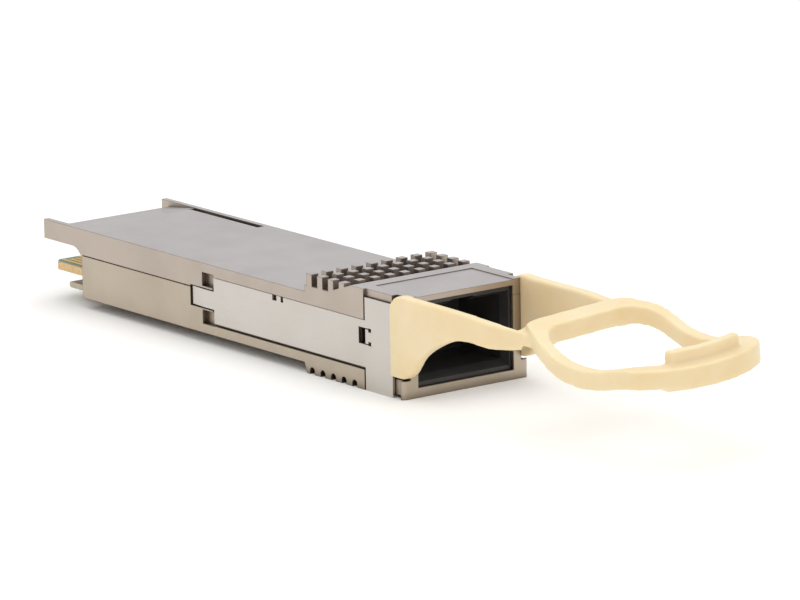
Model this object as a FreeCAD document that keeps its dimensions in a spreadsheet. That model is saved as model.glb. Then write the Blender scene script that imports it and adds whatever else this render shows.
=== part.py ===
"""Pluggable four-lane optical transceiver module with a parallel-fibre port and a pull tab.

Millimetres. +X runs from the card edge to the pull tab, +Y is across the width and +Z is up.
The origin is the centre of the flat underside that slides on the floor of the host's cage.
"""
import FreeCAD, Part
import Sketcher
import math
import os
import re

V = FreeCAD.Vector
doc = FreeCAD.newDocument("OpticalTransceiver")

# ---------------------------------------------------------------- driving dimensions
SIZES = [
    # overall envelope
    ("body_width", 18.35), ("body_height", 8.5), ("cage_length", 45.7), ("ear_overhang", 8.0),
    ("head_length", 18.7), ("head_rise", 2.2), ("head_drop", 1.25),
    # die-cast walls and the joint between the two shells
    ("side_wall", 0.92), ("top_wall", 1.0), ("bottom_wall", 1.0), ("rear_wall", 1.0),
    ("parting_height", 5.2), ("front_parting", 8.8),
    # rear of the upper shell
    ("ear_thickness", 0.75), ("ear_depth", 2.35), ("ear_fillet", 2.0), ("plate_inset", 1.4),
    ("ramp_length", 6.2), ("ramp_drop", 0.75), ("key_slot_width", 1.0), ("key_slot_length", 13.5),
    # tongue of the lower shell, under the card
    ("tongue_reach", 4.6), ("tongue_width", 15.4), ("tongue_low", 0.3), ("tongue_height", 0.72),
    # heat-sink pins on top and fins below
    ("pin_side", 1.0), ("pin_pitch", 2.1), ("pin_start", 0.4), ("pin_floor", 0.75),
    ("pin_rows", 4), ("pin_columns", 9), ("floor_ramp_start", 4.6), ("floor_ramp_end", 9.0),
    ("fin_pitch", 2.06), ("fin_slot", 0.95), ("fin_start", 0.75), ("fin_depth", 0.85), ("fin_slots", 5),
    ("fin_slope", 0.5), ("label_recess", 0.1), ("label_start", 10.9), ("label_width", 14.0),
    # release slider, bent from sheet
    ("sheet", 0.35), ("slide_gap", 0.05), ("travel", 1.0), ("tip_from_rear", 22.9),
    ("tip_length", 4.5), ("tip_height", 2.2), ("tip_bend", 2.6), ("tip_inset", 0.15),
    ("strip_low", 1.45), ("strip_high", 7.0), ("collar_length", 5.15), ("collar_setback", 1.95),
    ("collar_top", 9.75), ("strap_setback", 0.2), ("window_length", 1.26), ("window_height", 1.95),
    ("window_low", 4.15), ("seat_reach", 1.25), ("seat_height", 1.3), ("tang_length", 3.6),
    ("tang_low", 3.5), ("tang_high", 9.0),
    # pockets that the cage's latches drop into
    ("latch_from_rear", 25.1), ("latch_length", 2.4), ("latch_depth", 0.65),
    # front opening and bezel
    ("port_width", 13.85), ("port_low", -0.08), ("port_high", 9.93), ("port_depth", 8.9),
    ("ledge_height", 0.95), ("ledge_thick", 0.45), ("ledge_round", 0.7),
    ("crown_recess", 0.37),
    # receptacle, ferrule and its pins
    ("fit_gap", 0.05), ("plug_width", 12.5), ("plug_height", 7.7), ("fibre_height", 4.92),
    ("neck_width", 13.0), ("neck_low", 0.95), ("neck_high", 7.45), ("neck_length", 6.5),
    ("rim_setback", 0.5), ("funnel", 0.6), ("ferrule_width", 6.4), ("ferrule_height", 2.5),
    ("ferrule_length", 8.0), ("guide_pin_bore", 0.7), ("guide_pin_spacing", 4.6),
    ("guide_pin_length", 12.0), ("guide_pin_proud", 2.0), ("gasket", 0.5), ("clip_sheet", 0.4),
    ("clip_width", 9.6),
    # circuit board and what it carries
    ("board_gap", 0.045), ("board_thickness", 1.0), ("board_bottom", 2.3), ("board_behind", 7.45),
    ("board_setback", 2.2), ("board_chamfer", 0.8), ("contact_pitch", 0.8), ("contact_width", 0.55),
    ("contact_length", 5.0), ("contact_count", 19), ("foil", 0.05), ("chip_height", 0.9),
    ("ribbon_width", 3.1), ("ribbon_thickness", 0.3),
    # closing screws
    ("screw_shank", 1.6), ("screw_head", 2.8), ("screw_head_height", 0.7), ("screw_length", 5.0),
    ("screw_from_rear", 22.0), ("screw_side", 13.0), ("boss", 2.6),
    # return springs
    ("spring_outside", 1.2), ("spring_wire", 0.2), ("spring_turns", 8),
    # pull tab
    ("arm_thickness", 1.4), ("arm_outset", 0.3), ("arm_rear", 2.1), ("arm_low", 1.3),
    ("arm_high", 10.9), ("arm_neck", 7.95), ("loop_start", 19.6), ("bar_width", 3.3),
    ("bar_top", 11.45), ("loop_length", 26.4), ("loop_half_width", 9.5), ("loop_neck", 9.1),
    ("loop_dip", 2.65), ("corner_fillet", 1.5), ("corner_fall", 0.9),
    ("loop_roll", 4), ("strand", 2.2), ("strand_width", 1.7),
    ("pad_length", 3.3), ("pad_top", 10.2), ("pad_extra", 0.4), ("rib_width", 9.8),
    ("rib_height", 1.65), ("rib_thickness", 1.2), ("rib_setback", 1.7), ("rib_bend", 15),
]
sheet = doc.addObject("Spreadsheet::Sheet", "Dims")
for row, (alias, number) in enumerate(SIZES, start=1):
    sheet.set("A%d" % row, alias)
    sheet.set("B%d" % row, str(number))
    sheet.setAlias("B%d" % row, alias)
doc.recompute()
ALIASES = [alias for alias, number in SIZES]
size = {alias: float(sheet.get(alias)) for alias in ALIASES}

# Places along X that many pieces share, as expressions over the sheet.
REAR = "(-cage_length / 2)"
HEAD = "(cage_length / 2)"
FRONT = "(cage_length / 2 + head_length)"
EAR_TIP = "(-cage_length / 2 - ear_overhang)"
COLLAR_END = "(cage_length / 2 + head_length - collar_setback)"
COLLAR_START = "(%s - collar_length)" % COLLAR_END
STRIP_START = "(-cage_length / 2 + tip_from_rear + tip_length)"
PORT_START = "(cage_length / 2 + head_length - port_depth)"
NECK_START = "(%s - neck_length)" % PORT_START
LEDGE = "(cage_length / 2 + head_length - ledge_thick)"
HALF = "(body_width / 2)"
INNER = "(body_width / 2 - side_wall)"
BOARD_TOP = "(board_bottom + board_thickness)"
TOP = "(body_height + head_rise)"
POCKET_FLOOR = "(body_width / 2 - sheet - 2 * slide_gap)"
ARM_INNER = "(body_width / 2 + arm_outset - arm_thickness)"
STRIP_MIDDLE = "((strip_low + strip_high) / 2)"
WINDOW_MIDDLE = "(window_low + window_height / 2)"
BOARD_HALF = "(body_width / 2 - side_wall - board_gap)"
BOARD_FRONT = "(cage_length / 2 - board_setback)"
SEAT_FACE = "(%s + slide_gap + sheet)" % COLLAR_START
SPRING_END = "(%s - arm_rear - 0.5)" % FRONT
WINDOW_DEPTH = "(body_width / 2 - sheet - seat_reach - 0.3)"


def bound(text):
    """The same expression with every alias pointed at the spreadsheet."""
    return re.sub(r"[a-z_]+", lambda word: "Dims." + word.group(0)
                  if word.group(0) in ALIASES else word.group(0), text)


def value(text):
    """The number that an expression over the sheet stands for now."""
    probe.setExpression("Length", bound(text + " + %d" % PROBE_OFFSET))
    probe.recompute()
    return probe.Length.Value - PROBE_OFFSET


PROBE_OFFSET = 1000
COIL_STEPS = 12
probe = doc.addObject("Part::Box", "probe")

# ---------------------------------------------------------------- building helpers
NODES = []


def block(name, x, y, z):
    """A box between (low, high) expressions on each axis."""
    box = doc.addObject("Part::Box", name)
    for side, axis, (low, high) in (("Length", "x", x), ("Width", "y", y), ("Height", "z", z)):
        box.setExpression(side, bound("(%s) - (%s)" % (high, low)))
        box.setExpression("Placement.Base." + axis, bound(low))
    return box


def rod(name, radius, length, base, along="z"):
    """A cylinder of the given radius and length expressions, from base, along one axis."""
    cylinder = doc.addObject("Part::Cylinder", name)
    turn = {"x": FreeCAD.Rotation(V(0, 1, 0), 90), "y": FreeCAD.Rotation(V(1, 0, 0), -90),
            "z": FreeCAD.Rotation()}[along]
    cylinder.Placement = FreeCAD.Placement(V(), turn)
    cylinder.setExpression("Radius", bound(radius))
    cylinder.setExpression("Height", bound(length))
    for axis, text in zip("xyz", base):
        cylinder.setExpression("Placement.Base." + axis, bound(text))
    return cylinder


def computed(name, shape):
    feature = doc.addObject("Part::Feature", name)
    feature.Shape = shape
    return feature


def side_profile(name, points, low, high):
    """A closed XZ outline of (x, z) expressions, extruded across the width from low to high."""
    start = value(low)
    corners = [V(value(x), start, value(z)) for x, z in points]
    face = Part.Face(Part.makePolygon(corners + corners[:1]))
    return computed(name, face.extrude(V(0, value(high) - start, 0)))


def fuse(name, pieces):
    if len(pieces) == 1:
        return pieces[0]
    union = doc.addObject("Part::MultiFuse", name)
    union.Shapes = pieces
    return union


def node(label, pieces, cutters=()):
    """One sub-part: its pieces joined, its cutters taken away, and its own name."""
    result = fuse(label + "_solid", pieces)
    if cutters:
        cut = doc.addObject("Part::Cut", label + "_cut")
        cut.Base = result
        cut.Tool = fuse(label + "_cutters", list(cutters))
        result = cut
    result.Label = label
    NODES.append(result)
    return result


def group(label, pieces):
    """One sub-part made of several equal, separate solids."""
    compound = doc.addObject("Part::Compound", label + "_group")
    compound.Links = pieces
    compound.Label = label
    NODES.append(compound)
    return compound


def both_sides(name, x, y, z):
    """The same block on the near (-Y) and far (+Y) side, y counted outwards from the middle."""
    near = block(name + "_near", x, ("-(%s)" % y[1], "-(%s)" % y[0]), z)
    far = block(name + "_far", x, y, z)
    return [near, far]


# ---------------------------------------------------------------- cuts that both shells share
def slider_recesses():
    """Shallow recesses in both sides for the slider, its tip, its collar and the arms."""
    outside = (POCKET_FLOOR, HALF + " + 1")
    cuts = both_sides("strip_recess", (STRIP_START + " - 0.2", FRONT + " + 1"), outside,
                      ("strip_low - 0.3", "strip_high + slide_gap"))
    cuts += both_sides("tip_recess", (STRIP_START + " - tip_length - 0.25", STRIP_START),
                       (POCKET_FLOOR + " - tip_inset", HALF + " + 1"),
                       (STRIP_MIDDLE + " - tip_height / 2 - 0.15",
                        STRIP_MIDDLE + " + tip_height / 2 + 0.15"))
    cuts += both_sides("collar_recess", (COLLAR_START + " - 0.2", FRONT + " + 1"), outside,
                       ("ledge_height", "collar_top + slide_gap"))
    cuts += both_sides("collar_recess_low", (COLLAR_START + " - 0.2", LEDGE), outside,
                       ("-head_drop - 1", "ledge_height + 0.01"))
    cuts += both_sides("crown_recess", (COLLAR_START + " - 0.2", FRONT + " + 1"),
                       (HALF + " - crown_recess", HALF + " + 1"), ("collar_top", TOP + " + 1"))
    cuts += both_sides("window_pocket", (COLLAR_START + " - window_length", COLLAR_START + " + 0.1"),
                       (WINDOW_DEPTH, HALF + " + 1"), ("window_low", "window_low + window_height"))
    cuts += both_sides("arm_recess", (FRONT + " - arm_rear - 0.2", FRONT + " + 1"),
                       (ARM_INNER + " - slide_gap", HALF + " + 1"),
                       ("ledge_height", TOP + " + 1"))
    return cuts


def latch_pockets(low, high):
    return both_sides("latch_pocket", (REAR + " + latch_from_rear",
                                       REAR + " + latch_from_rear + latch_length"),
                      (HALF + " - latch_depth", HALF + " + 1"), (low, high))


def screw_places():
    """Two screws through the board and two in front of it."""
    for x in (REAR + " + screw_from_rear", HEAD + " + 1.9"):
        for sign in ("-", ""):
            yield x, sign + "screw_side / 2"


RECESSES = slider_recesses()
PORT = block("port", (PORT_START, FRONT + " + 1"), ("-port_width / 2", "port_width / 2"),
             ("port_low", "port_high"))
NECK = block("neck_hole", (NECK_START, PORT_START + " + 0.01"), ("-neck_width / 2", "neck_width / 2"),
             ("neck_low", "neck_high"))


# ---------------------------------------------------------------- die-cast shells
def upper_shell():
    outline = [(EAR_TIP + " + plate_inset", "body_height - top_wall"), (REAR, "body_height - top_wall"),
               (REAR, "parting_height"), (COLLAR_START, "parting_height"),
               (COLLAR_START, "front_parting"), (FRONT, "front_parting"), (FRONT, TOP),
               (HEAD + " + floor_ramp_end", TOP),
               (HEAD + " + floor_ramp_start", "body_height + pin_floor"),
               (HEAD, "body_height + pin_floor"), (HEAD, "body_height"),
               (EAR_TIP + " + plate_inset + ramp_length", "body_height"),
               (EAR_TIP + " + plate_inset", "body_height - ramp_drop")]
    pieces = [side_profile("upper_body", outline, "-" + HALF, HALF)]
    pieces += both_sides("ear", (EAR_TIP, REAR + " + 0.5"), (HALF + " - ear_thickness", HALF),
                         ("body_height - ear_depth", "body_height"))
    web = both_sides("ear_web", (REAR + " - ear_fillet", REAR + " + 0.1"),
                     (HALF + " - ear_thickness", HALF), ("parting_height", "body_height - ear_depth"))
    curve = rod("ear_curve", "ear_fillet", "body_width + 2",
                (REAR + " - ear_fillet", "-body_width / 2 - 1",
                 "body_height - ear_depth - ear_fillet"), "y")
    webs = doc.addObject("Part::Cut", "ear_webs")
    webs.Base = fuse("ear_web_pair", web)
    webs.Tool = curve
    pieces.append(webs)
    for i in range(int(size["pin_rows"])):
        for j in range(int(size["pin_columns"])):
            x = HEAD + " + pin_start + %d * pin_pitch" % i
            y = "-body_width / 2 + %d * (body_width - pin_side) / (pin_columns - 1)" % j
            pieces.append(block("pin_%d_%d" % (i, j), (x, x + " + pin_side"), (y, y + " + pin_side"),
                                ("body_height", TOP)))
    bulkhead = block("rear_bulkhead", (REAR, REAR + " + rear_wall"), ("-%s + fit_gap" % INNER,
                     INNER + " - fit_gap"), (BOARD_TOP + " + 0.1", "parting_height + 0.5"))
    cavity = block("upper_cavity", (REAR + " + rear_wall", NECK_START + " + 0.01"),
                   ("-" + INNER, INNER), ("parting_height - 1", "body_height - top_wall"))
    key_block = block("key_block", (REAR + " + 0.5", REAR + " + key_slot_length + 1.2"),
                      (INNER + " - key_slot_width - 0.8", INNER + " + 0.1"),
                      ("body_height - ear_depth - 0.9", "body_height - 0.1"))
    key_slot = block("key_slot", (REAR + " - 1", REAR + " + key_slot_length"),
                     (HALF + " - ear_thickness - key_slot_width", HALF + " - ear_thickness"),
                     ("body_height - ear_depth", "body_height + 1"))
    pedestal = block("pedestal", (REAR + " + 13.5", REAR + " + 19.5"), ("-6", "6"),
                     (BOARD_TOP + " + chip_height + 1", "body_height - 0.2"))
    label = block("label", (HEAD + " + label_start", FRONT + " + 1"),
                  ("-label_width / 2", "label_width / 2"), (TOP + " - label_recess", TOP + " + 1"))
    bosses = []
    bores = []
    for k, (x, y) in enumerate(screw_places()):
        foot = "(bottom_wall + fit_gap)"
        bosses.append(rod("boss_%d" % k, "boss / 2", "body_height - top_wall + 0.2 - " + foot, (x, y, foot)))
        bores.append(rod("boss_bore_%d" % k, "screw_shank / 2 + slide_gap / 2",
                         "screw_length - bottom_wall + 0.4", (x, y, "bottom_wall - 0.1")))
    hollow = doc.addObject("Part::Cut", "upper_hollow")
    hollow.Base = fuse("upper_outer", pieces)
    hollow.Tool = fuse("upper_hollows", [cavity, NECK, PORT])
    shadow_line = both_sides("shadow_line", (REAR + " - 1", STRIP_START + " - tip_length"),
                             (HALF + " - 0.25", HALF + " + 1"),
                             ("parting_height - 1", "parting_height + 0.1"))
    cutters = RECESSES + [key_slot, label] + shadow_line + bores + latch_pockets("5.7", "7.35")
    return node("upper_shell", [hollow, bulkhead, key_block, pedestal] + bosses, cutters)


def lower_shell():
    outline = [(REAR, "0"), (HEAD + " - 0.3", "0"), (HEAD + " - 0.3 + fin_slope", "-head_drop"),
               (FRONT, "-head_drop"),
               (FRONT, "front_parting"), (COLLAR_START, "front_parting"),
               (COLLAR_START, "parting_height"), (REAR, "parting_height")]
    body = side_profile("lower_body", outline, "-" + HALF, HALF)
    cavity = block("lower_cavity", (REAR + " + rear_wall", NECK_START + " + 0.01"),
                   ("-" + INNER, INNER), ("bottom_wall", "parting_height + 1"))
    card_gap = block("card_gap", (REAR + " - 1", REAR + " + rear_wall + 0.01"), ("-" + INNER, INNER),
                     ("board_bottom - 0.1", "parting_height + 1"))
    tongue = block("tongue", (REAR + " - tongue_reach", REAR + " + 0.1"),
                   ("-tongue_width / 2", "tongue_width / 2"),
                   ("tongue_low", "tongue_low + tongue_height"))
    nose = rod("tongue_nose", "tongue_height / 2", "tongue_width",
               (REAR + " - tongue_reach", "-tongue_width / 2", "tongue_low + tongue_height / 2"), "y")
    hollow = doc.addObject("Part::Cut", "lower_hollow")
    hollow.Base = fuse("lower_outer", [body, tongue, nose])
    hollow.Tool = fuse("lower_hollows", [cavity, card_gap])
    rails = both_sides("board_rail", (REAR + " + rear_wall", BOARD_FRONT),
                       ("screw_side / 2 + boss / 2 + fit_gap", INNER + " + 0.1"),
                       ("bottom_wall - 0.1", "board_bottom"))
    cuts = [NECK, PORT] + RECESSES + latch_pockets("1.1", "2.8")
    for k in range(int(size["fin_slots"])):
        x = HEAD + " + fin_start + %d * fin_pitch" % k
        cuts.append(block("fin_gap_%d" % k, (x, x + " + fin_slot"), (HALF + " * -1 - 1", HALF + " + 1"),
                          ("-head_drop - 1", "fin_depth - head_drop - fin_slot / 2")))
        cuts.append(rod("fin_arch_%d" % k, "fin_slot / 2", "body_width + 2",
                        (x + " + fin_slot / 2", "-body_width / 2 - 1",
                         "fin_depth - head_drop - fin_slot / 2"), "y"))
    cuts.append(block("strap_recess", (COLLAR_START + " + strap_setback - 0.2",
                                        COLLAR_END + " + travel + slide_gap"),
                      (HALF + " * -1 - 1", HALF + " + 1"),
                      ("-head_drop - 1", "-head_drop + sheet + slide_gap")))
    cuts += both_sides("spring_pocket", (COLLAR_START + " - 0.1", SPRING_END),
                       (WINDOW_DEPTH, HALF + " - 0.1"),
                       (WINDOW_MIDDLE + " - seat_height / 2 - 0.1",
                        WINDOW_MIDDLE + " + seat_height / 2 + 0.1"))
    for sign in (-1, 1):
        centre = "%d * (body_width / 2 - ledge_round)" % sign
        corner_y = (centre, "%d * (body_width / 2 + 1)" % sign)
        corner = block("ledge_corner_%d" % sign, (FRONT + " - ledge_round", FRONT + " + 1"),
                       corner_y if sign > 0 else corner_y[::-1], ("-head_drop - 1", "ledge_height + 0.01"))
        keep = rod("ledge_keep_%d" % sign, "ledge_round", "head_drop + ledge_height + 3",
                   (FRONT + " - ledge_round", centre, "-head_drop - 2"))
        trim = doc.addObject("Part::Cut", "ledge_trim_%d" % sign)
        trim.Base = corner
        trim.Tool = keep
        cuts.append(trim)
    for k, (x, y) in enumerate(screw_places()):
        under = "0" if k < 2 else "-head_drop"
        cuts.append(rod("shank_hole_%d" % k, "screw_shank / 2 + 0.1", "bottom_wall + head_drop + 1",
                        (x, y, "-head_drop - 0.5")))
        cuts.append(rod("head_hole_%d" % k, "screw_head / 2 + 0.05", "screw_head_height + 2",
                        (x, y, (under if k < 2 else "0") + " - 2 + 0.05")))
    return node("lower_shell", [hollow] + rails, cuts)


# ---------------------------------------------------------------- release slider and springs
def release_slider():
    skin = (HALF + " - slide_gap / 2 - sheet", HALF + " - slide_gap / 2")
    pieces = both_sides("strip", (STRIP_START, COLLAR_START + " + 0.5"), skin,
                        ("strip_low", "strip_high"))
    pieces += both_sides("collar", (COLLAR_START, COLLAR_END), skin, ("-head_drop", "collar_top"))
    pieces += both_sides("tip", (STRIP_START + " - tip_length + tip_bend", STRIP_START + " + 0.5"), skin,
                         (STRIP_MIDDLE + " - tip_height / 2", STRIP_MIDDLE + " + tip_height / 2"))
    bend = value(STRIP_START + " - tip_length + tip_bend")
    outer = value(skin[1])
    inset = size["tip_inset"]
    for sign in (-1, 1):
        corners = [V(bend, sign * outer, 0), V(bend - size["tip_bend"], sign * (outer - inset), 0),
                   V(bend - size["tip_bend"], sign * (outer - inset - size["sheet"]), 0),
                   V(bend, sign * (outer - size["sheet"]), 0)]
        lip = Part.Face(Part.makePolygon(corners + corners[:1])).extrude(V(0, 0, size["tip_height"]))
        lip.translate(V(0, 0, value(STRIP_MIDDLE + " - tip_height / 2")))
        pieces.append(computed("tip_lip_%d" % sign, lip))
    pieces.append(block("strap", (COLLAR_START + " + strap_setback", COLLAR_END),
                        ("-%s + slide_gap / 2" % HALF, HALF + " - slide_gap / 2"),
                        ("-head_drop", "-head_drop + sheet")))
    pieces += both_sides("tang", (COLLAR_END + " - 0.2", COLLAR_END + " + tang_length"), skin,
                         ("tang_low", "tang_high"))
    # The flap beside each window is bent inwards, and its end is the seat of a return spring.
    flap = COLLAR_START + " + slide_gap"
    pieces += both_sides("spring_seat", (flap, flap + " + sheet"),
                         (HALF + " - sheet - seat_reach", HALF + " - 0.1"),
                         (WINDOW_MIDDLE + " - seat_height / 2", WINDOW_MIDDLE + " + seat_height / 2"))
    outside = (HALF + " - sheet - 0.3", HALF + " + 1")
    top = "(window_low + window_height)"
    cuts = both_sides("window", (COLLAR_START + " - window_length", flap), outside, ("window_low", top))
    for low, high in (("window_low", "window_low + 0.12"), (top + " - 0.12", top)):
        cuts += both_sides("slit", (flap + " - 0.1", flap + " + 0.6"), outside, (low, high))
    for low, high in (("window_low - 0.05", "window_low + 0.4"), (top + " - 0.4", top + " + 0.05")):
        cuts += both_sides("relief", (flap + " + 0.55", flap + " + 1.1"), outside, (low, high))
    detent = STRIP_START + " + 11.8"
    for start, width in (("0", "0.85"), ("1.65", "0.5")):
        cuts += both_sides("detent", (detent + " + " + start, detent + " + %s + %s" % (start, width)),
                           outside, ("strip_high - 0.65", "strip_high + 1"))
    for sign in ("-", ""):
        base = (COLLAR_END + " + tang_length / 2 + 0.4", sign + HALF + " - 1", "(tang_low + tang_high) / 2")
        cuts.append(rod("tang_hole", "0.9", "2", base, "y"))
    return node("release_slider", pieces, cuts)


def return_spring(label, sign):
    """A compression coil with a closed turn at each end, along X from the seat to the pocket's end."""
    radius = (size["spring_outside"] - size["spring_wire"]) / 2
    closed = size["spring_wire"] * 1.05
    open_turns = size["spring_turns"] - 2
    length = value(SPRING_END) - value(SEAT_FACE) - size["slide_gap"]
    pitch = (length - size["spring_wire"] - 2 * closed) / open_turns
    points = []
    for k in range(int(size["spring_turns"]) * COIL_STEPS + 1):
        turn = k / COIL_STEPS
        along = closed * min(turn, 1) + pitch * min(max(turn - 1, 0), open_turns)
        along += closed * max(turn - 1 - open_turns, 0)
        angle = 2 * math.pi * turn
        points.append(V(radius * math.cos(angle), radius * math.sin(angle), along))
    path = Part.BSplineCurve()
    path.interpolate(points)
    start = path.tangent(path.FirstParameter)[0]
    section = Part.Wire(Part.makeCircle(size["spring_wire"] / 2, points[0], start))
    spring = computed(label, Part.Wire(path.toShape()).makePipeShell([section], True, True))
    place = V(value(SEAT_FACE) + size["spring_wire"] / 2 + 0.02,
              sign * value(HALF + " - sheet - seat_reach + spring_outside / 2 - 0.05"),
              value(WINDOW_MIDDLE))
    spring.Placement = FreeCAD.Placement(place, FreeCAD.Rotation(V(0, 1, 0), 90))
    NODES.append(spring)
    return spring


# ---------------------------------------------------------------- pull tab
def smooth(points):
    """One smooth curve through (x, y, z) points."""
    curve = Part.BSplineCurve()
    curve.interpolate([V(*point) for point in points])
    return curve.toShape()


def lines(points):
    return [Part.makeLine(V(*a), V(*b)) for a, b in zip(points, points[1:])]


def prism(edges, direction):
    """The closed outline that the edges make, extruded along a direction."""
    return Part.Face(Part.Wire(Part.__sortEdges__(edges))).extrude(direction)


def tab_arm(sign):
    """One side arm: tall where it grips the slider, then a slim neck that runs into the loop."""
    start = value(FRONT + " - arm_rear")
    end = value(FRONT + " + loop_start") + 4
    low, high, neck = size["arm_low"], size["arm_high"], size["arm_neck"]
    tilt = sign * math.sin(math.radians(size["loop_roll"])) * size["loop_half_width"]
    crown = 1.0
    heel = start + 2.0
    under = [(heel, 0, low), (heel + 1.9, 0, low + 0.8), (heel + 3.3, 0, low + 2.5),
             (heel + 6.2, 0, low + 4.6), (heel + 11.2, 0, low + 6.4), (heel + 17.0, 0, neck - 0.2),
             (end - 3.0, 0, neck + 0.5 + tilt * 0.5), (end, 0, neck + 1.2 + tilt)]
    over = [(start + 3.2, 0, high + 0.1), (start + 9.0, 0, high + 0.05), (start + 15.0, 0, high - 0.1),
            (start + 19.5, 0, high - 0.3), (end - 2.0, 0, high - 0.2 + tilt * 0.7),
            (end, 0, high - 0.5 + tilt)]
    rise = [(start, 0, high - crown - 0.3), (start + 0.8, 0, high - 0.35), over[0]]
    edges = [smooth(under), smooth(over), smooth(rise)]
    edges += lines([under[-1], over[-1]]) + lines([rise[0], (start, 0, low), under[0]])
    arm = prism(edges, V(0, size["arm_thickness"], 0))
    inner = value(ARM_INNER)
    arm.translate(V(0, inner if sign > 0 else -inner - size["arm_thickness"], 0))
    # Seen from above, the arm's outer face runs inwards until the loop's shoulder takes over.
    outside = inner + size["arm_thickness"] + 0.1
    plan = [(start - 1, 0, 0), (start - 1, sign * outside, 0), (end - 7.5, sign * outside, 0),
            (end - 2.5, sign * (inner + 0.2), 0), (end - 2.5, 0, 0)]
    return arm.common(prism(lines(plan + plan[:1]), V(0, 0, 40)))


def loop_side(wide, neck):
    """Half of the loop's plan from the crossbar round to the tip, as (distance, half width)."""
    length = size["loop_length"]
    return [(0.9, wide * 0.74), (2.9, wide * 0.85), (5.0, wide * 0.945), (8.5, wide), (12.5, wide * 0.985),
            (17.0, neck), (20.5, neck + 0.1), (22.8, neck * 0.945), (length * 0.932, neck * 0.72),
            (length * 0.977, neck * 0.42), (length * 0.997, neck * 0.12)]


def bar_corner(sign):
    """Fills the corner between an arm and the crossbar: filleted inside, falling to the arm's top."""
    start = value(FRONT + " + loop_start")
    inner = value(ARM_INNER)
    radius = size["corner_fillet"]
    width = inner + 0.2 - size["loop_half_width"] / 2
    fill = Part.makeBox(3, width, 40, V(start, inner + 0.2 - width, 0))
    web = Part.makeBox(radius + 0.1, radius + 0.2, 40, V(start - radius, inner - radius, 0))
    web = web.cut(Part.makeCylinder(radius, 40, V(start - radius, inner - radius, 0)))
    bar, side = size["bar_top"], start - radius - 1
    slope = [(side, 0, 0), (side, 0, bar), (side, inner + 0.2 - width, bar),
             (side, inner + 0.2, bar - size["corner_fall"]), (side, inner + 0.2, 0)]
    corner = fill.fuse(web).common(prism(lines(slope + slope[:1]), V(radius + 6, 0, 0)))
    return corner if sign > 0 else corner.mirror(V(), V(0, 1, 0))


def loop_outer():
    """Plan of the whole loop: a straight back, rounded shoulders, a waist and a round tip."""
    start = value(FRONT + " + loop_start")
    shoulder = size["loop_half_width"] * 0.58
    side = [(start, shoulder)]
    side += [(start + x, y) for x, y in loop_side(size["loop_half_width"], size["loop_neck"])]
    round_trip = [(x, y, 0) for x, y in side] + [(x, -y, 0) for x, y in side[::-1]]
    edges = [smooth(round_trip)] + lines([round_trip[-1], round_trip[0]])
    return prism(edges, V(0, 0, 40)).fuse([bar_corner(-1), bar_corner(1)])


def loop_hole():
    """Plan of the finger hole, a strand's width inside the loop."""
    start = value(FRONT + " + loop_start") + size["bar_width"]
    end = value(FRONT + " + loop_start + loop_length - pad_length")
    wide = size["loop_half_width"] - size["strand_width"]
    neck = size["loop_neck"] - size["strand_width"]
    near = [(start, wide * 0.55), (start + 1.0, wide * 0.82), (start + 3.0, wide * 0.97),
            (start + 6.0, wide), (start + 10.0, wide * 0.98), (start + 14.0, neck),
            (end - 3.6, neck * 0.94), (end - 1.4, neck * 0.76), (end - 0.3, neck * 0.45)]
    far = [(x, -y, 0) for x, y in near]
    near = [(x, y, 0) for x, y in near]
    edges = [smooth(near), smooth(far)] + lines([near[0], far[0]]) + lines([near[-1], far[-1]])
    return prism(edges, V(0, 0, 40))


def loop_band(thickness):
    """The side view of the loop: it dips behind the crossbar and rises again to the pad."""
    start = value(FRONT + " + loop_start")
    bar, dip, pad = size["bar_top"], size["bar_top"] - size["loop_dip"], size["pad_top"]
    upper = [(start - 2, 0, bar - 0.05), (start + 2.3, 0, bar), (start + 5.3, 0, bar - 0.6),
             (start + 8.3, 0, bar - 1.85), (start + 12.5, 0, dip), (start + 16.5, 0, dip + 0.35),
             (start + 20.5, 0, pad - 0.2), (start + 24.0, 0, pad), (start + 29.0, 0, pad)]
    lower = [(x, 0, z - thickness) for x, y, z in upper]
    edges = [smooth(upper), smooth(lower)] + lines([upper[-1], lower[-1]]) + lines([lower[0], upper[0]])
    band = prism(edges, V(0, 40, 0))
    band.translate(V(0, -20, 0))
    return band


def finger_rib():
    """A curved wall that stands on the pad, square to the pull."""
    bend = size["rib_bend"]
    tip = value(FRONT + " + loop_start + loop_length") - size["rib_setback"]
    foot = size["pad_top"] - 0.5
    tall = size["rib_height"] + 0.5
    outer = Part.makeCylinder(bend, tall, V(tip - bend, 0, foot))
    inner = Part.makeCylinder(bend - size["rib_thickness"], tall, V(tip - bend, 0, foot))
    span = Part.makeBox(bend, size["rib_width"], tall, V(tip - bend, -size["rib_width"] / 2, foot))
    return outer.cut(inner).common(span)


def pull_tab(slider):
    pad_start = value(FRONT + " + loop_start + loop_length - pad_length")
    pad_side = -size["rib_width"] / 2 - 1.3
    pad_zone = Part.makeBox(10, size["loop_half_width"] - pad_side, 40, V(pad_start, pad_side, 0))
    slim = loop_outer().cut(loop_hole()).common(loop_band(size["strand"]))
    thick = size["strand"] + size["pad_extra"]
    pad = loop_outer().cut(loop_hole()).common(pad_zone).common(loop_band(thick))
    loop = slim.fuse([pad, finger_rib()])
    loop.rotate(V(0, 0, size["bar_top"] - 1), V(1, 0, 0), size["loop_roll"])
    whole = loop.fuse([tab_arm(-1), tab_arm(1)]).removeSplitter()
    body = computed("tab_body", whole)
    return node("pull_tab", [body], [slider])


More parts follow.
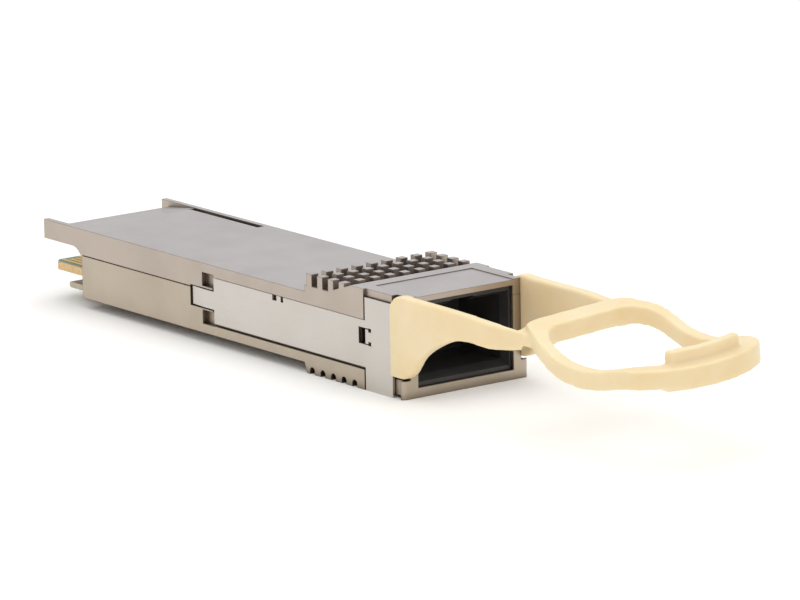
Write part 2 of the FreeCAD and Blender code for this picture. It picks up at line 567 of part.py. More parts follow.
# ---------------------------------------------------------------- optical port
def optical_receptacle():
    width = "(port_width - 2 * fit_gap)"
    front = (PORT_START + " + gasket", FRONT + " - rim_setback")
    rim = block("receptacle_front", front, ("-%s / 2" % width, width + " / 2"),
                ("port_low + fit_gap", "port_high - fit_gap"))
    neck = block("receptacle_neck", (NECK_START + " + fit_gap", PORT_START + " + gasket + 0.1"),
                 ("-neck_width / 2 + fit_gap", "neck_width / 2 - fit_gap"),
                 ("neck_low + fit_gap", "neck_high - fit_gap"))
    socket = block("plug_socket", (PORT_START + " - 0.6", FRONT + " + 1"),
                   ("-plug_width / 2", "plug_width / 2"),
                   ("fibre_height - plug_height / 2", "fibre_height + plug_height / 2"))
    back = value(FRONT + " - rim_setback") - size["funnel"] * 2
    mouth = []
    for x, grow in ((back, 0.0), (back + size["funnel"] * 2 + 0.01, size["funnel"])):
        y = size["plug_width"] / 2 + grow * 0.7
        z = size["plug_height"] / 2 + grow
        middle = size["fibre_height"]
        mouth.append(Part.makePolygon([V(x, -y, middle - z), V(x, y, middle - z), V(x, y, middle + z),
                                       V(x, -y, middle + z), V(x, -y, middle - z)]))
    funnel = computed("funnel", Part.makeLoft(mouth, True, True))
    keyway = block("keyway", (PORT_START + " + 1.5", FRONT + " + 1"), ("-1.6", "1.6"),
                   ("fibre_height", "fibre_height + plug_height / 2 + 0.7"))
    seat = block("ferrule_hole", (NECK_START + " - 1", PORT_START),
                 ("-ferrule_width / 2 - fit_gap", "ferrule_width / 2 + fit_gap"),
                 ("fibre_height - ferrule_height / 2 - fit_gap",
                  "fibre_height + ferrule_height / 2 + fit_gap"))
    shell = node("optical_receptacle", [rim, neck], [socket, funnel, keyway, seat])
    return shell


def port_parts():
    ferrule_start = NECK_START + " + 0.4"
    ferrule = block("ferrule_body", (ferrule_start, ferrule_start + " + ferrule_length"),
                    ("-ferrule_width / 2", "ferrule_width / 2"),
                    ("fibre_height - ferrule_height / 2", "fibre_height + ferrule_height / 2"))
    pin_start = ferrule_start + " + ferrule_length + guide_pin_proud - guide_pin_length"
    pins = []
    holes = []
    for sign in ("-", ""):
        place = (pin_start, sign + "guide_pin_spacing / 2", "fibre_height")
        pins.append(rod("guide_pin", "guide_pin_bore / 2", "guide_pin_length", place, "x"))
        wide = (pin_start + " - 0.5", place[1], place[2])
        holes.append(rod("pin_hole", "guide_pin_bore / 2", "guide_pin_length", wide, "x"))
    slit = block("ribbon_slit", (ferrule_start + " - 1", ferrule_start + " + 2"),
                 ("-ribbon_width / 2", "ribbon_width / 2"),
                 ("fibre_height - ribbon_thickness / 2", "fibre_height + ribbon_thickness / 2"))
    node("mt_ferrule", [ferrule], holes + [slit])
    group("guide_pins", pins)
    clamp_x = (pin_start + " + 0.2", pin_start + " + 1.4")
    clamp = block("clamp", clamp_x, ("-3.1", "3.1"), ("fibre_height - 1.1", "fibre_height + 1.1"))
    gap = block("clamp_gap", (pin_start, pin_start + " + 2"), ("-1.75", "1.75"),
                ("fibre_height - 0.5", "fibre_height + 2"))
    node("pin_clamp", [clamp], holes + [gap])
    frame = block("gasket_outer", (PORT_START, PORT_START + " + gasket"),
                  ("-port_width / 2", "port_width / 2"), ("port_low", "port_high"))
    inside = block("gasket_inner", (PORT_START + " - 1", PORT_START + " + 1"),
                   ("-neck_width / 2", "neck_width / 2"), ("neck_low", "neck_high"))
    node("emi_gasket", [frame], [inside])
    clip = block("clip_plate", (NECK_START + " - clip_sheet - fit_gap", NECK_START + " - fit_gap"),
                 ("-clip_width / 2", "clip_width / 2"), ("bottom_wall", "parting_height"))
    throat = block("clip_throat", (NECK_START + " - 1", NECK_START + " + 1"), ("-3.5", "3.5"),
                   ("fibre_height - 1.6", "body_height"))
    node("receptacle_clip", [clip], [throat])


# ---------------------------------------------------------------- circuit board and optics
def main_board():
    body = doc.addObject("PartDesign::Body", "BoardBody")
    sketch = body.newObject("Sketcher::SketchObject", "board_outline")
    plane = [item for item in body.Origin.OriginFeatures if item.Role == "XY_Plane"][0]
    sketch.AttachmentSupport = [(plane, "")]
    sketch.MapMode = "FlatFace"
    rear = value(REAR + " - board_behind")
    front = value(BOARD_FRONT)
    half = value(BOARD_HALF)
    cut = size["board_chamfer"]
    corners = [(front, -half), (front, half), (rear + cut, half), (rear, half - cut),
               (rear, cut - half), (rear + cut, -half)]
    for a, b in zip(corners, corners[1:] + corners[:1]):
        sketch.addGeometry(Part.LineSegment(V(a[0], a[1], 0), V(b[0], b[1], 0)), False)
    constraints = Sketcher.Constraint
    for k in range(len(corners)):
        sketch.addConstraint(constraints("Coincident", k, 2, (k + 1) % len(corners), 1))
    sketch.addConstraint(constraints("Vertical", 0))
    sketch.addConstraint(constraints("Horizontal", 1))
    sketch.addConstraint(constraints("Vertical", 3))
    sketch.addConstraint(constraints("Horizontal", 5))
    named = [("front_edge", constraints("DistanceX", -1, 1, 0, 1, front), BOARD_FRONT),
             ("right_edge", constraints("DistanceY", 0, 1, -1, 1, half), BOARD_HALF),
             ("left_edge", constraints("DistanceY", -1, 1, 0, 2, half), BOARD_HALF),
             ("rear_edge", constraints("DistanceX", 3, 1, -1, 1, -rear), "cage_length / 2 + board_behind"),
             ("left_cut_x", constraints("DistanceX", 2, 2, 2, 1, cut), "board_chamfer"),
             ("left_cut_y", constraints("DistanceY", 2, 2, 2, 1, cut), "board_chamfer"),
             ("right_cut_x", constraints("DistanceX", 4, 1, 4, 2, cut), "board_chamfer"),
             ("right_cut_y", constraints("DistanceY", 4, 2, 4, 1, cut), "board_chamfer")]
    for name, constraint, text in named:
        index = sketch.addConstraint(constraint)
        sketch.renameConstraint(index, name)
        sketch.setExpression("Constraints." + name, bound(text))
    pad = body.newObject("PartDesign::Pad", "board_thick")
    pad.Profile = sketch
    pad.setExpression("Length", bound("board_thickness"))
    sketch.setExpression("AttachmentOffset.Base.z", bound("board_bottom"))
    holes = [rod("board_hole_%d" % k, "boss / 2 + 0.1", "board_thickness + 2",
                 (x, y, "board_bottom - 1")) for k, (x, y) in enumerate(screw_places()) if k < 2]
    node("main_board", [body], holes)


def edge_contacts():
    for label, low in (("edge_contacts_top", BOARD_TOP), ("edge_contacts_bottom", "board_bottom - foil")):
        strips = []
        for k in range(int(size["contact_count"])):
            y = "(%d - (contact_count - 1) / 2) * contact_pitch - contact_width / 2" % k
            late = "0.5" if k % 3 else "0"
            x = REAR + " - board_behind + 0.45 + " + late
            strips.append(block("contact", (x, x + " + contact_length"), (y, y + " + contact_width"),
                                (low, low + " + foil")))
        group(label, strips)


def chip(name, x, y, length, width, height="chip_height"):
    """A flat package that stands on the board, centred on (x, y) from the rear wall."""
    return block(name, (REAR + " + %s - %s / 2" % (x, length), REAR + " + %s + %s / 2" % (x, length)),
                 ("%s - %s / 2" % (y, width), "%s + %s / 2" % (y, width)),
                 (BOARD_TOP, BOARD_TOP + " + " + height))


def board_parts():
    node("microcontroller_chip", [chip("controller", 7, 3, 5, 5)])
    group("retimer_chips", [chip("retimer_%d" % k, 16.5, y, 5, 5) for k, y in enumerate((-3.2, 3.2))])
    node("thermal_pad", [block("pad_body", (REAR + " + 13.5", REAR + " + 19.5"), ("-6", "6"),
                               (BOARD_TOP + " + chip_height", BOARD_TOP + " + chip_height + 1"))])
    node("laser_driver_chip", [chip("driver", 31.5, -2.2, 2.6, 3.2, "0.35")])
    node("receiver_amplifier_chip", [chip("amplifier", 31.5, 2.2, 2.6, 3.2, "0.35")])
    node("laser_array", [chip("lasers", 34.6, -1.6, 0.4, 1.3, "0.2")])
    node("photodiode_array", [chip("diodes", 34.6, 1.6, 0.4, 1.3, "0.2")])
    lens_x = (REAR + " + 33.6", REAR + " + 38.1")
    top = "fibre_height + 0.8"
    lens = block("lens_outer", lens_x, ("-3.4", "3.4"), (BOARD_TOP, top))
    room = block("lens_room", (REAR + " + 33.9", REAR + " + 35.3"), ("-2.6", "2.6"),
                 (BOARD_TOP + " - 1", BOARD_TOP + " + 0.5"))
    prism = block("lens_prism", (REAR + " + 34.0", REAR + " + 35.0"), ("-2.2", "2.2"),
                  (top + " - 0.7", top + " + 1"))
    mouth = block("lens_mouth", (REAR + " + 37.3", REAR + " + 39"),
                  ("-ribbon_width / 2", "ribbon_width / 2"),
                  ("fibre_height - ribbon_thickness / 2", "fibre_height + ribbon_thickness / 2"))
    node("lens_block", [lens], [room, prism, mouth])
    node("fibre_ribbon", [block("ribbon", (REAR + " + 37.3", NECK_START + " + 2.4"),
                                ("-ribbon_width / 2", "ribbon_width / 2"),
                                ("fibre_height - ribbon_thickness / 2",
                                 "fibre_height + ribbon_thickness / 2"))])
    places = [(11.5, -6.9), (11.5, -5.5), (11.5, 1.5), (11.5, 4.8), (24.5, -5), (24.5, -2), (24.5, 2),
              (24.5, 5), (28.5, -4.5), (28.5, 4.5), (28.5, 0), (21.6, 0)]
    group("board_capacitors", [chip("capacitor_%d" % k, x, y, 1.0, 0.5, "0.5")
                               for k, (x, y) in enumerate(places)])
    group("power_inductors", [chip("inductor_%d" % k, 7, y, 2.5, 2.0, "1.2")
                              for k, y in enumerate((-3.0, -6.0))])


def housing_screws():
    screws = []
    for k, (x, y) in enumerate(screw_places()):
        head = rod("screw_head_%d" % k, "screw_head / 2", "screw_head_height", (x, y, "0.05"))
        shank = rod("screw_shank_%d" % k, "screw_shank / 2", "screw_length", (x, y, "0.1"))
        recess = rod("screw_socket_%d" % k, "screw_head / 5", "1.35", (x, y, "-1"))
        whole = doc.addObject("Part::Cut", "screw_%d" % k)
        whole.Base = fuse("screw_body_%d" % k, [head, shank])
        whole.Tool = recess
        screws.append(whole)
    group("housing_screws", screws)


# ---------------------------------------------------------------- build, check and write
upper_shell()
lower_shell()
doc.recompute()
slider = release_slider()
doc.recompute()
return_spring("return_spring_near", -1)
return_spring("return_spring_far", 1)
pull_tab(slider)
optical_receptacle()
port_parts()
main_board()
edge_contacts()
board_parts()
housing_screws()
doc.recompute()
doc.removeObject(probe.Name)

broken = [item.Name for item in doc.Objects if "Invalid" in item.State or "Error" in item.State]
if broken:
    raise RuntimeError("objects that failed: %s" % ", ".join(broken))
for item in NODES:
    if item.Shape.isNull() or not item.Shape.isValid():
        raise RuntimeError("bad shape: " + item.Label)

os.makedirs("parts", exist_ok=True)
for item in NODES:
    item.Shape.exportStep("parts/%s.step" % item.Label)
    box = item.Shape.BoundBox
    print("%-24s %2d solids %9.2f mm3  x %.2f..%.2f  y %.2f..%.2f  z %.2f..%.2f" % (
        item.Label, len(item.Shape.Solids), item.Shape.Volume, box.XMin, box.XMax, box.YMin, box.YMax,
        box.ZMin, box.ZMax))
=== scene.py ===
# %% [markdown]
# # A pluggable optical transceiver, finished in Blender
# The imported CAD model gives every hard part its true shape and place. This script keeps those
# parts, gives each one the surface its real material has, and makes the soft pull tab again as a
# rounded moulding. It ends with light, a floor and a camera.

# %% Load the fixed frame
import math

import bpy
from mathutils import Matrix, Vector


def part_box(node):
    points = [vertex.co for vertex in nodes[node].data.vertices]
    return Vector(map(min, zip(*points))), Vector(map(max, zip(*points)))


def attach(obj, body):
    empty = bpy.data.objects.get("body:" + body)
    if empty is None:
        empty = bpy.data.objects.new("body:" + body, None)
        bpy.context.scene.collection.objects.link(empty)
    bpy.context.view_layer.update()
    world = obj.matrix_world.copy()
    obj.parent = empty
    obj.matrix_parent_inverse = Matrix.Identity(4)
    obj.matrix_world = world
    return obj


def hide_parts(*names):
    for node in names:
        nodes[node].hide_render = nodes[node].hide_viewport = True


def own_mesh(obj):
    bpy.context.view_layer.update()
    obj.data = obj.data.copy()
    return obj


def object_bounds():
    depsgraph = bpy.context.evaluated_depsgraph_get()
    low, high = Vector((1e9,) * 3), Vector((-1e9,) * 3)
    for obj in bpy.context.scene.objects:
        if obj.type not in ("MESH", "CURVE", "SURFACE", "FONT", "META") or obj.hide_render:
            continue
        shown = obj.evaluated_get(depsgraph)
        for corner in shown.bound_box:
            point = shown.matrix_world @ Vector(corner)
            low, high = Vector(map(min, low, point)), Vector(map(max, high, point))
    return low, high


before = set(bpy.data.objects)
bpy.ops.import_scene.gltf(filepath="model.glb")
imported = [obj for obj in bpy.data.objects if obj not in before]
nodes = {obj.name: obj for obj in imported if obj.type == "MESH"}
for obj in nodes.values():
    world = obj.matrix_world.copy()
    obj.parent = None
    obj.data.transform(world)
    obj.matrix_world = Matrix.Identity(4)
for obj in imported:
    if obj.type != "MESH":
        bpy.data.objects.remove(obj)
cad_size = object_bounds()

# %% [markdown]
# Blender measures in metres, while everything on this module is a few millimetres or less. One
# named unit keeps the numbers readable.

# %% A millimetre, and where the module sits
MM = 0.001
shell_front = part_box("lower_shell")[1][0]
tab_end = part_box("pull_tab")[1][0]
print("tab reaches %.1f mm past the front face" % ((tab_end - shell_front) / MM))

# %% [markdown]
# ## How a finish is written
# A finish is a small tree of shader nodes. Colours are easiest to read as the hex codes of a
# display, but the shader adds up light, so each code is turned into linear light first.


# %% Colour and node helpers
def colour(code):
    """Linear light for a display colour such as #D8D2C6."""
    channels = [int(code[k:k + 2], 16) / 255 for k in (1, 3, 5)]
    linear = [c / 12.92 if c <= 0.04045 else ((c + 0.055) / 1.055) ** 2.4 for c in channels]
    return (*linear, 1.0)


def add(tree, kind, **settings):
    """One new node in the tree; a setting whose name is an input fills that socket."""
    node = tree.nodes.new(kind)
    for name, setting in settings.items():
        socket = node.inputs.get(name.replace("_", " "))
        if socket is not None and isinstance(setting, bpy.types.NodeSocket):
            tree.links.new(setting, socket)
        elif socket is not None:
            socket.default_value = setting
        else:
            setattr(node, name, setting)
    return node


def start_finish(name, **fixed):
    """A new material: its tree and its main shader, with the constant sockets set."""
    material = bpy.data.materials.new(name)
    material.use_nodes = True
    tree = material.node_tree
    shader = tree.nodes["Principled BSDF"]
    for socket, setting in fixed.items():
        shader.inputs[socket.replace("_", " ")].default_value = setting
    return material, tree, shader


print("warm white in linear light:", [round(c, 3) for c in colour("#F2F0EC")[:3]])

# %% [markdown]
# Every pattern is placed in millimetres on the object itself, so a grain is as coarse on a screw
# as on the housing. Stretching a noise along one axis turns grain into the lines that rolling or
# brushing leaves.


# %% Patterns measured in millimetres
RAYS = 6    # rays that a bevel or an occlusion node sends out from each point


def place_mm(tree, stretch=(1, 1, 1)):
    """Object coordinates in millimetres; a stretch above 1 draws the pattern out on that axis."""
    where = add(tree, "ShaderNodeTexCoord").outputs["Object"]
    scale = [1 / (MM * s) for s in stretch]
    return add(tree, "ShaderNodeMapping", Vector=where, Scale=scale).outputs["Vector"]


def grain(tree, size_mm, detail=3.0, stretch=(1, 1, 1)):
    """A soft random pattern whose blobs are about size_mm across, as a number from 0 to 1."""
    spot = place_mm(tree, stretch)
    return add(tree, "ShaderNodeTexNoise", Vector=spot, Scale=1 / size_mm, Detail=detail,
               Roughness=0.55).outputs["Fac"]


def between(tree, fac, low, high, from_low=0.3, from_high=0.7):
    """The pattern's own range laid out between two values."""
    ramp = add(tree, "ShaderNodeMapRange", Value=fac, From_Min=from_low, From_Max=from_high,
               To_Min=low, To_Max=high)
    return ramp.outputs["Result"]


def two_tone(tree, fac, first, second):
    """One colour fading into another by a pattern."""
    mix = add(tree, "ShaderNodeMix", data_type="RGBA")
    tree.links.new(fac, mix.inputs["Factor"])
    for socket, code in (("A", first), ("B", second)):
        target = [s for s in mix.inputs if s.name == socket and s.type == "RGBA"][0]
        if isinstance(code, bpy.types.NodeSocket):
            tree.links.new(code, target)
        else:
            target.default_value = colour(code)
    return [s for s in mix.outputs if s.type == "RGBA"][0]


def relief(tree, shader, height, depth_mm, edge_mm=0.0):
    """A pattern raised by depth_mm; edge_mm also rounds sharp corners in the light."""
    bump = add(tree, "ShaderNodeBump", Height=height, Distance=depth_mm * MM, Strength=1.0)
    if edge_mm:
        edge = add(tree, "ShaderNodeBevel", Radius=edge_mm * MM, samples=RAYS)
        tree.links.new(edge.outputs["Normal"], bump.inputs["Normal"])
    tree.links.new(bump.outputs["Normal"], shader.inputs["Normal"])


print("pattern unit:", MM, "m")

# %% [markdown]
# ## The die-cast shells
# Both shells are zinc castings plated with nickel, which is a little warmer than chrome. Plating
# copies the fine orange-peel of the mould, so the mirror is broken into a satin. A metallic shader
# needs a tint, a roughness and that relief; a bevel in the normal gives the bright line that light
# leaves on every cast edge. An occlusion node paints shade between the pins and fins, turning the
# metal darker and browner in there. Faces that look up are tinted cooler and greyer than the sides,
# a painted difference of lit top and shaded side, and a fine darker line marks each corner, a
# painted reflection of the dim room in the rounded edge.
# Both of those are matched, and are not a known property of the plating.


# %% Where a face points, and where it turns a corner
# The corner line is painted shade: a dark tint standing in for the dim room that a rounded edge
# mirrors.
CORNER_SHADE_STRENGTH = 0.75            # how much of the dark tint a corner's line takes
CORNER_AGREEMENT = (0.82, 0.99)   # rounded and flat normals agree this much on a corner, and off it


def upward_share(tree):
    """How far a face looks up: 0 on a wall or a floor, 1 on a top."""
    normal = add(tree, "ShaderNodeTexCoord").outputs["Normal"]
    return add(tree, "ShaderNodeSeparateXYZ", Vector=normal).outputs["Z"]


def painted_edge_line(tree, radius_mm):
    """Where the painted dark corner line goes: 1 on a corner's line and 0 away from it, by how much
    rounding it would turn the surface.
    """
    rounded = add(tree, "ShaderNodeBevel", Radius=radius_mm * MM, samples=RAYS).outputs["Normal"]
    flat = add(tree, "ShaderNodeNewGeometry").outputs["Normal"]
    agree = add(tree, "ShaderNodeVectorMath", operation="DOT_PRODUCT")
    tree.links.new(rounded, agree.inputs[0])
    tree.links.new(flat, agree.inputs[1])
    return between(tree, agree.outputs["Value"], CORNER_SHADE_STRENGTH, 0.0, *CORNER_AGREEMENT)


# %% Nickel-plated casting
# Occlusion paints shade on the walls of any gap narrower than this.
SHADE_REACH_MM = 1.6    # a gap narrower than this shades its own walls


def nickel_casting(name, side, top, shade_and_mottle):
    """Satin plating with painted light: lit and shaded tints by the way a face looks, a little
    random cloud, a painted dark line on each corner and painted shade in narrow gaps.
    """
    material, tree, shader = start_finish(name, Metallic=1.0)
    # Tops and sides take two tints of the one metal: painted light on the top, painted shade on the
    # side.
    face = two_tone(tree, between(tree, upward_share(tree), 0, 1, 0.3, 0.8), side, top)
    cloud = grain(tree, 6.0, 2.0)
    face = two_tone(tree, between(tree, cloud, 0.0, 0.12), face, shade_and_mottle)
    # A painted dark line on each corner: painted shade where a rounded edge would mirror the dim
    # room.
    face = two_tone(tree, painted_edge_line(tree, 0.13), face, shade_and_mottle)
    # Painted shade: occlusion darkens and browns the metal in narrow gaps between pins and fins.
    occlusion_shade = add(tree, "ShaderNodeAmbientOcclusion", Distance=SHADE_REACH_MM * MM,
                samples=RAYS).outputs["AO"]
    tree.links.new(two_tone(tree, between(tree, occlusion_shade, 0, 1, 0.25, 0.85), shade_and_mottle, face),
                   shader.inputs["Base Color"])
    peel = grain(tree, 0.16, 4.0)
    tree.links.new(between(tree, peel, 0.33, 0.44), shader.inputs["Roughness"])
    relief(tree, shader, peel, 0.006, edge_mm=0.12)
    return material


# Each shell's first two colours are a painted shaded side and lit top of one nickel; the third is
# painted shade, also used for the random cloud.
upper_nickel = nickel_casting("satin nickel on cast zinc, upper", "#BBAFA4", "#C6C1C1", "#5A4D42")
lower_nickel = nickel_casting("satin nickel on cast zinc, lower", "#BCB09F", "#C2BAB2", "#54473B")
print("castings:", upper_nickel.name, "|", lower_nickel.name)

# %% [markdown]
# The slider, the clip and the clamp are stamped from bright stainless strip. Rolling leaves hair
# lines along the strip, so the noise is drawn out sixty times along the module.


# %% Rolled stainless strip
def rolled_strip(name, light, dark, rough):
    """Bright metal with faint rolling lines along X."""
    material, tree, shader = start_finish(name, Metallic=1.0, Anisotropic=0.35)
    lines = grain(tree, 0.1, 3.0, stretch=(60, 1, 1))
    stain = grain(tree, 9.0, 1.0)
    tree.links.new(two_tone(tree, between(tree, stain, 0, 1), dark, light),
                   shader.inputs["Base Color"])
    tree.links.new(between(tree, lines, rough - 0.03, rough + 0.04), shader.inputs["Roughness"])
    relief(tree, shader, lines, 0.0008, edge_mm=0.07)
    return material


bright_strip = rolled_strip("bright rolled stainless strip", "#C9C4BE", "#C3BDB6", 0.3)
spring_wire = rolled_strip("drawn spring wire", "#B9B8B6", "#A9A8A6", 0.22)
screw_steel = rolled_strip("zinc-plated screw steel", "#B4B5B8", "#9FA1A6", 0.35)
print("strip metals: 3")

# %% [markdown]
# ## The pull tab's rubber
# The tab is a soft thermoplastic elastomer, moulded round the slider's edges. Light goes a
# millimetre or so into it before it comes out again, which is why thin edges glow and shadows look
# warm. Subsurface scattering does that, and its radius is in metres, longest for red.


# %% Beige elastomer
def beige_elastomer():
    material, tree, shader = start_finish("beige thermoplastic elastomer", IOR=1.5,
                                          Subsurface_Weight=0.35, Specular_IOR_Level=0.55)
    shader.inputs["Subsurface Radius"].default_value = (1.6 * MM, 1.0 * MM, 0.5 * MM)
    shader.inputs["Subsurface Scale"].default_value = 1.0
    cloud = grain(tree, 7.0, 3.0)
    tree.links.new(two_tone(tree, between(tree, cloud, 0, 1), "#E4CE9F", "#EAD9B4"),
                   shader.inputs["Base Color"])
    skin = grain(tree, 0.14, 4.0)
    tree.links.new(between(tree, skin, 0.34, 0.46), shader.inputs["Roughness"])
    relief(tree, shader, skin, 0.008)
    return material


tab_rubber = beige_elastomer()
print("soft finish:", tab_rubber.name)

# %% [markdown]
# ## Plastics round the light path
# The receptacle is black glass-filled plastic with the dry, fine spark texture of its mould. The
# ferrule is a smoother, denser black, and the lens block is a clear amber engineering plastic.


# %% Moulded plastics
def moulded(name, light, dark, rough, texture_mm=0.12, depth_mm=0.006, **fixed):
    """A moulded plastic, rubber or ceramic with a fine surface texture."""
    material, tree, shader = start_finish(name, **fixed)
    cloud = grain(tree, 2.5, 3.0)
    tree.links.new(two_tone(tree, between(tree, cloud, 0, 1), dark, light),
                   shader.inputs["Base Color"])
    spark = grain(tree, texture_mm, 4.0)
    tree.links.new(between(tree, spark, rough - 0.06, rough + 0.08), shader.inputs["Roughness"])
    relief(tree, shader, spark, depth_mm, edge_mm=0.06)
    return material


black_plastic = moulded("black glass-filled plastic", "#302F2F", "#242323", 0.36, IOR=1.52)
ferrule_black = moulded("dense black ferrule polymer", "#2C2C2E", "#232325", 0.28, 0.06, 0.002,
                        IOR=1.6)
lens_amber = moulded("clear amber lens plastic", "#C98B34", "#B97A26", 0.12, 0.3, 0.001, IOR=1.66,
                     Transmission_Weight=0.6)
chip_black = moulded("epoxy chip package", "#2B2B2C", "#222223", 0.55, 0.05, 0.004, IOR=1.55)
ferrite_grey = moulded("pressed ferrite", "#4A4A4C", "#3B3B3D", 0.6, 0.08, 0.01, IOR=1.6)
pad_blue = moulded("filled silicone gap pad", "#8FA3B5", "#8197AA", 0.7, 0.2, 0.02, IOR=1.45)
gasket_grey = moulded("metal-filled gasket rubber", "#5C5C5D", "#4A4A4B", 0.5, 0.07, 0.01, IOR=1.5)
print("plastics and rubbers: 7")

# %% [markdown]
# ## The circuit board
# Solder mask is a glossy green lacquer over copper. The tracks under it show as slightly lighter,
# raised lines, drawn by a brick pattern whose rows are a track's spacing apart. The cut edges of
# the board have no lacquer: there the tan glass laminate shows, and the surface's own direction
# tells the two apart.


# %% Green solder mask over copper tracks
def solder_mask():
    material, tree, shader = start_finish("green solder mask on laminate", IOR=1.52,
                                          Coat_Weight=0.5, Coat_Roughness=0.12)
    spot = place_mm(tree)
    tracks = add(tree, "ShaderNodeTexBrick", Vector=spot, Scale=1.0, Mortar_Size=0.07,
                 Mortar_Smooth=0.2, Brick_Width=4.4, Row_Height=0.42, offset=0.37)
    copper = between(tree, tracks.outputs["Fac"], 0, 1, 0, 1)
    lacquer = two_tone(tree, copper, "#1F6B3C", "#2F8850")
    weave = grain(tree, 0.3, 3.0)
    laminate = two_tone(tree, between(tree, weave, 0, 1), "#C79F62", "#DDBB80")
    flat = add(tree, "ShaderNodeMath", operation="ABSOLUTE")
    tree.links.new(upward_share(tree), flat.inputs[0])
    tree.links.new(two_tone(tree, between(tree, flat.outputs["Value"], 0, 1, 0.4, 0.6), laminate,
                            lacquer), shader.inputs["Base Color"])
    tree.links.new(between(tree, weave, 0.3, 0.42), shader.inputs["Roughness"])
    relief(tree, shader, copper, 0.012, edge_mm=0.05)
    return material


def gold_plate():
    material, tree, shader = start_finish("hard gold plate", Metallic=1.0)
    wipe = grain(tree, 0.08, 4.0, stretch=(18, 1, 1))
    tree.links.new(two_tone(tree, between(tree, wipe, 0, 1), "#D9A94F", "#F0C878"),
                   shader.inputs["Base Color"])
    tree.links.new(between(tree, wipe, 0.2, 0.34), shader.inputs["Roughness"])
    relief(tree, shader, wipe, 0.002)
    return material


green_mask = solder_mask()
gold = gold_plate()
print("board finishes:", green_mask.name, "|", gold.name)

# %% [markdown]
# Bare semiconductor dies are polished, with a faint violet from the thin films on them and a grid
# of bond pads. Ceramic capacitors are matt tan. The fibres' coating is a clear aqua acrylate, with
# a groove between one fibre and the next.


# %% Dies, ceramic and fibre coating
def polished_die():
    material, tree, shader = start_finish("polished semiconductor die", Metallic=0.85, IOR=3.5)
    cells = add(tree, "ShaderNodeTexBrick", Vector=place_mm(tree), Scale=1.0, Mortar_Size=0.02,
                Brick_Width=0.25, Row_Height=0.25, offset=0.0)
    fac = between(tree, cells.outputs["Fac"], 0, 1, 0, 1)
    tree.links.new(two_tone(tree, fac, "#5B5F78", "#B89A5A"), shader.inputs["Base Color"])
    tree.links.new(between(tree, fac, 0.14, 0.3, 0, 1), shader.inputs["Roughness"])
    relief(tree, shader, fac, 0.003)
    return material


def fibre_coating():
    material, tree, shader = start_finish("aqua fibre coating", IOR=1.5, Coat_Weight=0.3)
    waves = add(tree, "ShaderNodeTexWave", Vector=place_mm(tree), Scale=0.64, Distortion=0.0,
                bands_direction="Y")
    fac = waves.outputs["Fac"]
    # The darker aqua follows the low part of the relief: painted shade in each groove between
    # fibres.
    tree.links.new(two_tone(tree, fac, "#3C9D9B", "#6CCBC8"), shader.inputs["Base Color"])
    tree.links.new(between(tree, fac, 0.35, 0.22, 0, 1), shader.inputs["Roughness"])
    relief(tree, shader, fac, 0.03)
    return material


die_violet = polished_die()
ceramic_tan = moulded("fired capacitor ceramic", "#B39573", "#A08464", 0.5, 0.05, 0.003, IOR=1.6)
aqua_coating = fibre_coating()
print("small finishes: 3")

# %% [markdown]
# ## Which part wears which finish
# A CAD part that already has the right shape keeps it, and only its material slots are filled.

# %% Dress the CAD parts
finish_of = {
    "upper_shell": upper_nickel, "lower_shell": lower_nickel, "release_slider": bright_strip,
    "return_spring_near": spring_wire, "return_spring_far": spring_wire,
    "optical_receptacle": black_plastic, "mt_ferrule": ferrule_black, "guide_pins": bright_strip,
    "pin_clamp": bright_strip, "receptacle_clip": bright_strip, "emi_gasket": gasket_grey,
    "main_board": green_mask, "edge_contacts_top": gold, "edge_contacts_bottom": gold,
    "microcontroller_chip": chip_black, "retimer_chips": chip_black, "thermal_pad": pad_blue,
    "laser_driver_chip": die_violet, "receiver_amplifier_chip": die_violet,
    "laser_array": die_violet, "photodiode_array": die_violet, "lens_block": lens_amber,
    "fibre_ribbon": aqua_coating, "board_capacitors": ceramic_tan,
    "power_inductors": ferrite_grey, "housing_screws": screw_steel, "pull_tab": tab_rubber,
}


def wear(piece, material):
    """Fill every material slot of a piece with one finish."""
    if not piece.material_slots:
        piece.data.materials.append(material)
    for slot in piece.material_slots:
        slot.material = material


for name, material in finish_of.items():
    wear(nodes[name], material)
print("undressed parts:", sorted(set(nodes) - set(finish_of)))

# %% [markdown]
# ## The pull tab as a moulding
# The tab has no sharp corner. A bevel is hard to place where so many curved walls meet, so the tab
# is laid out as an even net of small faces and then relaxed, as a worn pebble loses its corners.


# %% Work on one object at a time
def only(piece):
    """Deselect everything, then select this piece and make it active."""
    bpy.ops.object.select_all(action="DESELECT")
    piece.select_set(True)
    bpy.context.view_layer.objects.active = piece
    return piece


def use(piece, kind, **settings):
    """Add a modifier, set it, and apply it."""
    modifier = only(piece).modifiers.new(kind.lower(), kind)
    for name, setting in settings.items():
        setattr(modifier, name, setting)
    bpy.ops.object.modifier_apply(modifier=modifier.name)


def mesh_copy(node, name):
    """A separate copy of a CAD part, with its loose triangles joined up."""
    piece = bpy.data.objects.new(name, nodes[node].data.copy())
    bpy.context.scene.collection.objects.link(piece)
    only(piece)
    bpy.ops.object.mode_set(mode="EDIT")
    bpy.ops.mesh.select_all(action="SELECT")
    bpy.ops.mesh.remove_doubles(threshold=0.0005 * MM)
    bpy.ops.object.mode_set(mode="OBJECT")
    return piece


# %% [markdown]
# The net's faces are a fifth of a millimetre across, which is small next to the tab's walls.

